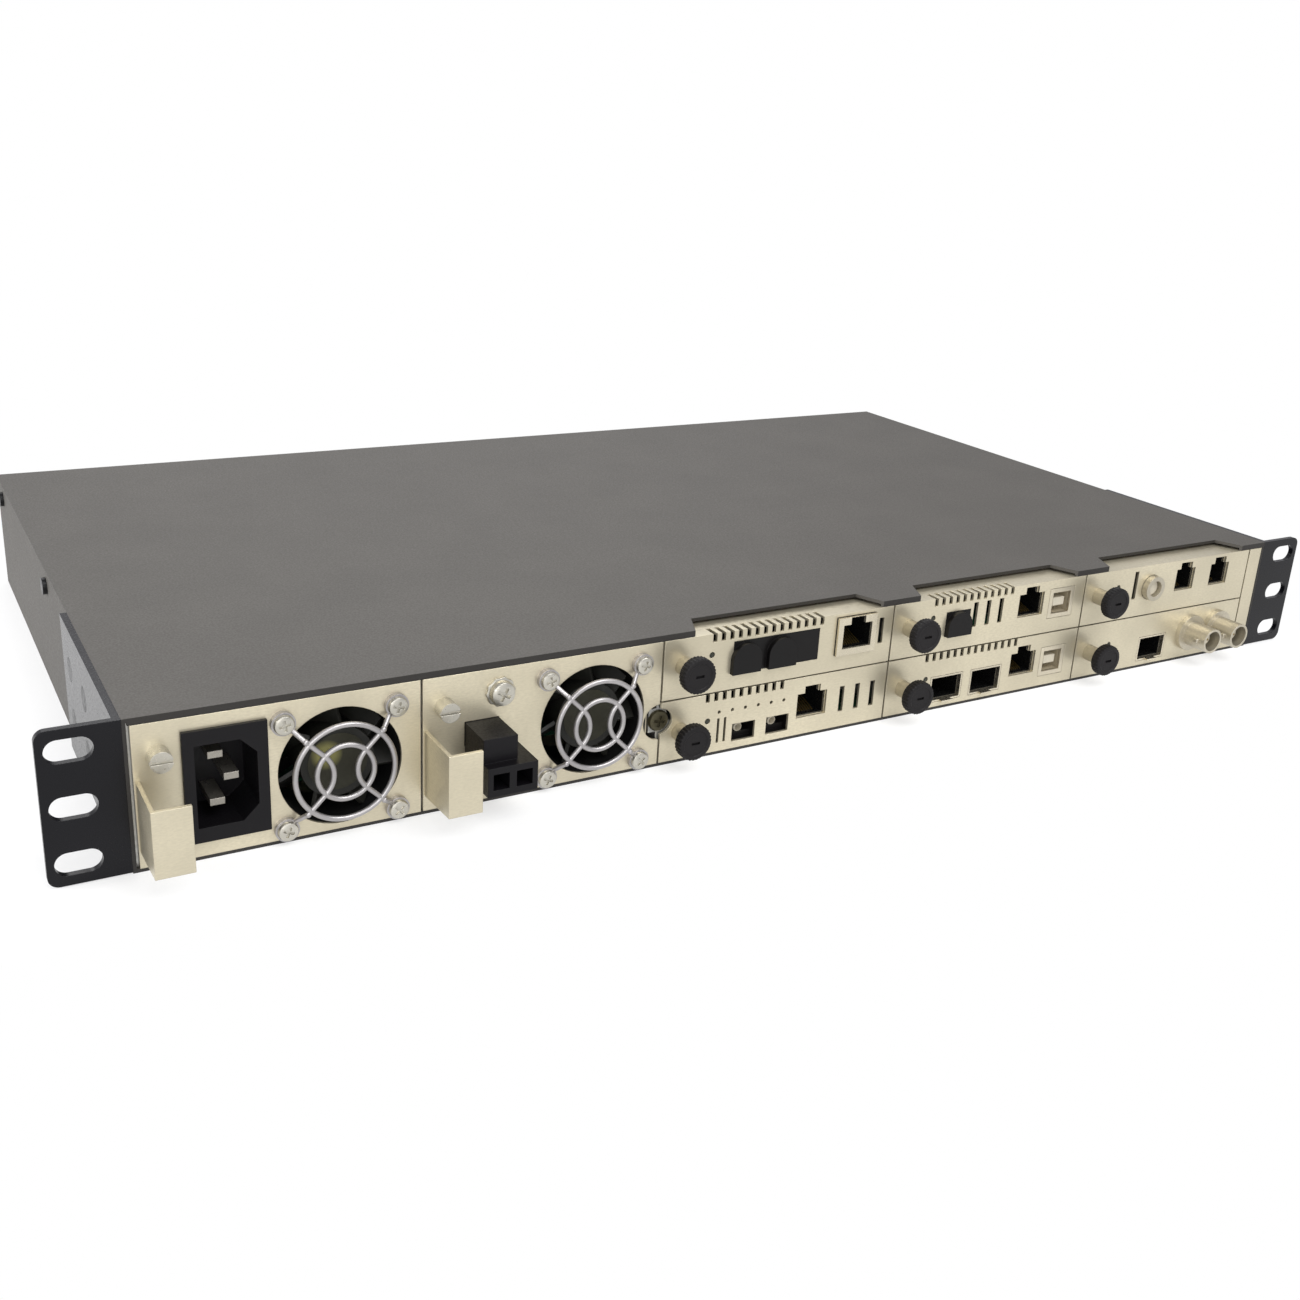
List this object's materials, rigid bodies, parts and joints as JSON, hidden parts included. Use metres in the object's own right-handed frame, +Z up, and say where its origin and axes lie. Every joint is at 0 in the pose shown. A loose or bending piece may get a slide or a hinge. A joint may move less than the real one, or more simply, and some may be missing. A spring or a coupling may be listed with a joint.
{
  "type": "rack media converter chassis",
  "caption": "Rack-mount chassis with slide-in converter cards held by thumbscrews, two slide-in power supplies with fans, notched cover and slotted rack ears.",
  "frame": {"origin": "centre of the four corner rack slots, on the front face of the rack ears", "axes": "+X along the front to the right as seen from the front, +Y back into the rack, +Z up"},
  "size_m": [0.481, 0.2781, 0.0444],
  "materials": {
    "chassis_paint": "matte",
    "ear_paint": "satin",
    "black_screw": "satin",
    "plated_sheet": "satin",
    "zinc_sheet": "satin",
    "steel_screw": "satin",
    "guide_plastic": "matte",
    "board_green": "gloss",
    "black_plastic": "matte",
    "pin_metal": "gloss",
    "fan_black": "matte",
    "rotor_plastic": "matte",
    "guard_wire": "gloss",
    "jack_shell": "satin",
    "knob_black": "matte",
    "port_black": "matte",
    "coax_metal": "satin"
  },
  "bodies": {
    "chassis": {"tray": "chassis_paint", "top_cover": "chassis_paint", "ear_left": "ear_paint", "ear_right": "ear_paint", "ear_screws": "black_screw", "cover_screws": "steel_screw", "psu_dividers": "zinc_sheet", "card_dividers": "zinc_sheet", "end_divider": "plated_sheet", "card_guides": "guide_plastic", "backplane": "board_green"},
    "psu_ac": {"psu_ac_case": "plated_sheet", "psu_ac_handle": "plated_sheet", "psu_ac_inlet": "black_plastic", "psu_ac_inlet_pins": "pin_metal", "psu_ac_fan_frame": "fan_black", "psu_ac_fan_guard": "guard_wire", "psu_ac_board": "board_green"},
    "psu_ac_screw": {"psu_ac_screw": "steel_screw"},
    "psu_ac_rotor": {"psu_ac_fan_rotor": "rotor_plastic"},
    "psu_dc": {"psu_dc_case": "plated_sheet", "psu_dc_handle": "plated_sheet", "psu_dc_terminals": "black_plastic", "psu_dc_fan_frame": "fan_black", "psu_dc_fan_guard": "guard_wire", "psu_dc_board": "board_green"},
    "psu_dc_screw": {"psu_dc_screw": "steel_screw"},
    "psu_dc_rotor": {"psu_dc_fan_rotor": "rotor_plastic"},
    "card_1": {"card_1_face": "plated_sheet", "card_1_board": "board_green", "card_1_jack": "jack_shell", "card_1_fibre": "port_black"},
    "card_1_knob": {"card_1_knob": "knob_black"},
    "card_2": {"card_2_face": "plated_sheet", "card_2_board": "board_green", "card_2_jack": "jack_shell", "card_2_bus_port": "jack_shell", "card_2_fibre": "port_black"},
    "card_2_knob": {"card_2_knob": "knob_black"},
    "card_3": {"card_3_face": "plated_sheet", "card_3_board": "board_green", "card_3_jacks": "jack_shell", "card_3_ring": "coax_metal"},
    "card_3_knob": {"card_3_knob": "knob_black"},
    "card_4": {"card_4_face": "plated_sheet", "card_4_board": "board_green", "card_4_jack": "jack_shell", "card_4_fibre": "port_black"},
    "card_4_knob": {"card_4_knob": "knob_black"},
    "card_5": {"card_5_face": "plated_sheet", "card_5_board": "board_green", "card_5_jack": "jack_shell", "card_5_bus_port": "jack_shell", "card_5_cages": "jack_shell"},
    "card_5_knob": {"card_5_knob": "knob_black"},
    "card_6": {"card_6_face": "plated_sheet", "card_6_board": "board_green", "card_6_cage": "jack_shell", "card_6_coax": "coax_metal"},
    "card_6_knob": {"card_6_knob": "knob_black"}
  },
  "joints": [
    {"name": "psu_ac_slide", "type": "slide", "parent": "chassis", "child": "psu_ac", "axis": [0, -1, 0], "range_m": [0, 0.205]},
    {"name": "psu_ac_screw_turn", "type": "hinge", "parent": "psu_ac", "child": "psu_ac_screw", "pos_m": [-0.2113, 0, 0.0105], "axis": [0, -1, 0], "continuous": true},
    {"name": "psu_ac_fan_spin", "type": "hinge", "parent": "psu_ac", "child": "psu_ac_rotor", "pos_m": [-0.1628, 0, -0.002], "axis": [0, -1, 0], "continuous": true},
    {"name": "psu_dc_slide", "type": "slide", "parent": "chassis", "child": "psu_dc", "axis": [0, -1, 0], "range_m": [0, 0.205]},
    {"name": "psu_dc_screw_turn", "type": "hinge", "parent": "psu_dc", "child": "psu_dc_screw", "pos_m": [-0.13225, 0, 0.0105], "axis": [0, -1, 0], "continuous": true},
    {"name": "psu_dc_fan_spin", "type": "hinge", "parent": "psu_dc", "child": "psu_dc_rotor", "pos_m": [-0.08375, 0, -0.002], "axis": [0, -1, 0], "continuous": true},
    {"name": "card_1_slide", "type": "slide", "parent": "chassis", "child": "card_1", "axis": [0, -1, 0], "range_m": [0, 0.202]},
    {"name": "card_1_knob_turn", "type": "hinge", "parent": "card_1", "child": "card_1_knob", "pos_m": [-0.0525, 0, 0.0108], "axis": [0, -1, 0], "continuous": true},
    {"name": "card_2_slide", "type": "slide", "parent": "chassis", "child": "card_2", "axis": [0, -1, 0], "range_m": [0, 0.202]},
    {"name": "card_2_knob_turn", "type": "hinge", "parent": "card_2", "child": "card_2_knob", "pos_m": [0.0379, 0, 0.0108], "axis": [0, -1, 0], "continuous": true},
    {"name": "card_3_slide", "type": "slide", "parent": "chassis", "child": "card_3", "axis": [0, -1, 0], "range_m": [0, 0.202]},
    {"name": "card_3_knob_turn", "type": "hinge", "parent": "card_3", "child": "card_3_knob", "pos_m": [0.1283, 0, 0.0108], "axis": [0, -1, 0], "continuous": true},
    {"name": "card_4_slide", "type": "slide", "parent": "chassis", "child": "card_4", "axis": [0, -1, 0], "range_m": [0, 0.202]},
    {"name": "card_4_knob_turn", "type": "hinge", "parent": "card_4", "child": "card_4_knob", "pos_m": [-0.0525, 0, -0.0117], "axis": [0, -1, 0], "continuous": true},
    {"name": "card_5_slide", "type": "slide", "parent": "chassis", "child": "card_5", "axis": [0, -1, 0], "range_m": [0, 0.202]},
    {"name": "card_5_knob_turn", "type": "hinge", "parent": "card_5", "child": "card_5_knob", "pos_m": [0.0379, 0, -0.0117], "axis": [0, -1, 0], "continuous": true},
    {"name": "card_6_slide", "type": "slide", "parent": "chassis", "child": "card_6", "axis": [0, -1, 0], "range_m": [0, 0.202]},
    {"name": "card_6_knob_turn", "type": "hinge", "parent": "card_6", "child": "card_6_knob", "pos_m": [0.1283, 0, -0.0117], "axis": [0, -1, 0], "continuous": true}
  ]
}
